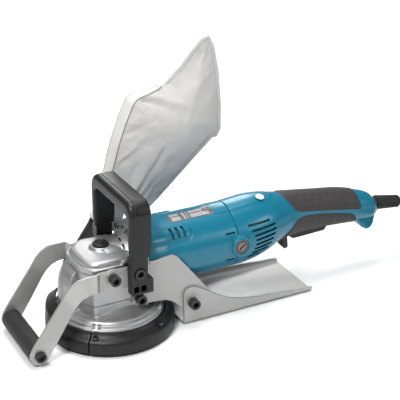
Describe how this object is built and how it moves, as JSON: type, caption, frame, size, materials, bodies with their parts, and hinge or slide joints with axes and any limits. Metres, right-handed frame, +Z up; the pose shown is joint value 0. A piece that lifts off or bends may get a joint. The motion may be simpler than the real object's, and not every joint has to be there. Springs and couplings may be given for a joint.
{
  "type": "hand-held concrete planer",
  "caption": "Hand-held concrete planer: cup wheel under a dust cover, in-line motor and rear handle, loop front handle, sliding base plate, front roller frame, cloth dust bag.",
  "frame": {"origin": "point on the work face under the axis of the cup wheel", "axes": "+Z up out of the work face, +X back towards the rear handle, -Y towards the tool's left side as seen from behind with the bag on the right"},
  "size_m": [0.6437, 0.2401, 0.3167],
  "materials": {
    "machined_steel": "machined",
    "wheel_paint": "satin",
    "diamond_grit": "gritty sintered segments",
    "cast_aluminium": "satin die cast",
    "steel_sheet": "matte sheet steel",
    "black_plastic": "moulded",
    "teal_plastic": "satin gloss moulding",
    "grip_rubber": "matte overmoulded elastomer with dimples",
    "black_rubber": "matte",
    "roller_rubber": "matte",
    "bristle": "nylon bristles",
    "black_screw": "black oxide",
    "bag_cloth": "plain woven cotton",
    "lamination": "laminated iron",
    "copper": "enamelled copper",
    "brass": "brass",
    "carbon": "carbon",
    "brush_cap": "moulded phenolic",
    "cord_rubber": "rubber sheathed mains lead",
    "cord_tie": "woven tie"
  },
  "bodies": {
    "tool": {"needle_bearing": "machined_steel", "ball_bearings": "machined_steel", "wheel_housing": "cast_aluminium", "gear_housing": "cast_aluminium", "dust_cover": "black_plastic", "rear_brush": "bristle", "cover_screws": "black_screw", "dust_nozzle": "black_rubber", "motor_housing": "teal_plastic", "stator_core": "lamination", "field_coils": "copper", "air_baffle": "black_plastic", "brush_holders": "brass", "carbon_brushes": "carbon", "brush_caps": "brush_cap", "gearbox_screws": "black_screw", "handle_half_left": "teal_plastic", "handle_half_right": "teal_plastic", "upper_grip_pad": "grip_rubber", "lower_grip_pad": "grip_rubber", "switch_body": "black_plastic", "switch_pins": "machined_steel", "handle_screws": "black_screw", "lock_spring": "machined_steel", "front_grip": "black_plastic", "grip_brackets": "black_plastic", "left_side_plate": "steel_sheet", "right_side_plate": "steel_sheet", "base_nuts": "machined_steel", "frame_screws": "black_screw", "cord_guard": "black_rubber", "power_cord": "cord_rubber", "cord_coil": "cord_rubber", "cord_tie": "cord_tie", "mains_plug": "black_rubber"},
    "wheel": {"spindle": "machined_steel", "inner_flange": "machined_steel", "cup_wheel": "wheel_paint", "lock_nut": "machined_steel", "diamond_segments": "diamond_grit", "ring_gear": "machined_steel"},
    "armature": {"armature_shaft": "machined_steel", "armature_core": "lamination", "armature_windings": "copper", "commutator": "copper", "cooling_fan": "black_plastic", "pinion_gear": "machined_steel"},
    "roller_frame": {"left_roller_arm": "steel_sheet", "right_roller_arm": "steel_sheet", "roller_axle": "machined_steel", "roller_screws": "black_screw"},
    "roller": {"roller": "roller_rubber"},
    "base": {"base_plate": "steel_sheet"},
    "trigger": {"trigger": "black_plastic"},
    "lock_off_lever": {"lock_off_lever": "black_plastic"},
    "shaft_lock": {"shaft_lock_button": "black_plastic"},
    "front_cover": {"front_dust_cover": "black_plastic", "front_brush": "bristle"},
    "bag": {"bag_collar": "bag_cloth", "dust_bag": "bag_cloth"}
  },
  "joints": [
    {"name": "wheel_spin", "type": "hinge", "parent": "tool", "child": "wheel", "pos_m": [0, 0, 0.05], "axis": [0, 0, 1], "continuous": true},
    {"name": "armature_spin", "type": "hinge", "parent": "tool", "child": "armature", "pos_m": [0.1, 0, 0.0865], "axis": [1, 0, 0], "continuous": true},
    {"name": "roller_frame_tilt", "type": "hinge", "parent": "tool", "child": "roller_frame", "pos_m": [-0.0127, 0, 0.086], "axis": [0, 1, 0], "range_deg": [-2, 8]},
    {"name": "roller_spin", "type": "hinge", "parent": "roller_frame", "child": "roller", "pos_m": [-0.1085, 0, 0.0132], "axis": [0, 1, 0], "continuous": true},
    {"name": "base_height", "type": "slide", "parent": "tool", "child": "base", "axis": [0, 0, 1], "range_m": [0, 0.004]},
    {"name": "trigger_pull", "type": "hinge", "parent": "tool", "child": "trigger", "pos_m": [0.252, 0, 0.071], "axis": [0, 1, 0], "range_deg": [-5, 0], "stiffness_Nm_per_rad": 1, "springref_deg": 6.88},
    {"name": "lock_off_swing", "type": "hinge", "parent": "tool", "child": "lock_off_lever", "pos_m": [0.2423, 0, 0.069], "axis": [0, 1, 0], "range_deg": [0, 22], "stiffness_Nm_per_rad": 0.05, "springref_deg": -11.46},
    {"name": "shaft_lock_press", "type": "slide", "parent": "tool", "child": "shaft_lock", "axis": [0, 0, -1], "range_m": [0, 0.0028], "stiffness_N_per_m": 800, "springref_m": -0.003, "deforming": ["lock_spring"]},
    {"name": "front_cover_lift", "type": "slide", "parent": "tool", "child": "front_cover", "axis": [0, 0, 1], "range_m": [0, 0.008]},
    {"name": "bag_swivel", "type": "hinge", "parent": "tool", "child": "bag", "pos_m": [0.02527, 0.079, 0.09354], "axis": [0.5878, 0, 0.809], "range_deg": [-15, 15]}
  ],
  "couplings": [
    {"joint": "armature_spin", "follows": "wheel_spin", "ratio": 3}
  ]
}
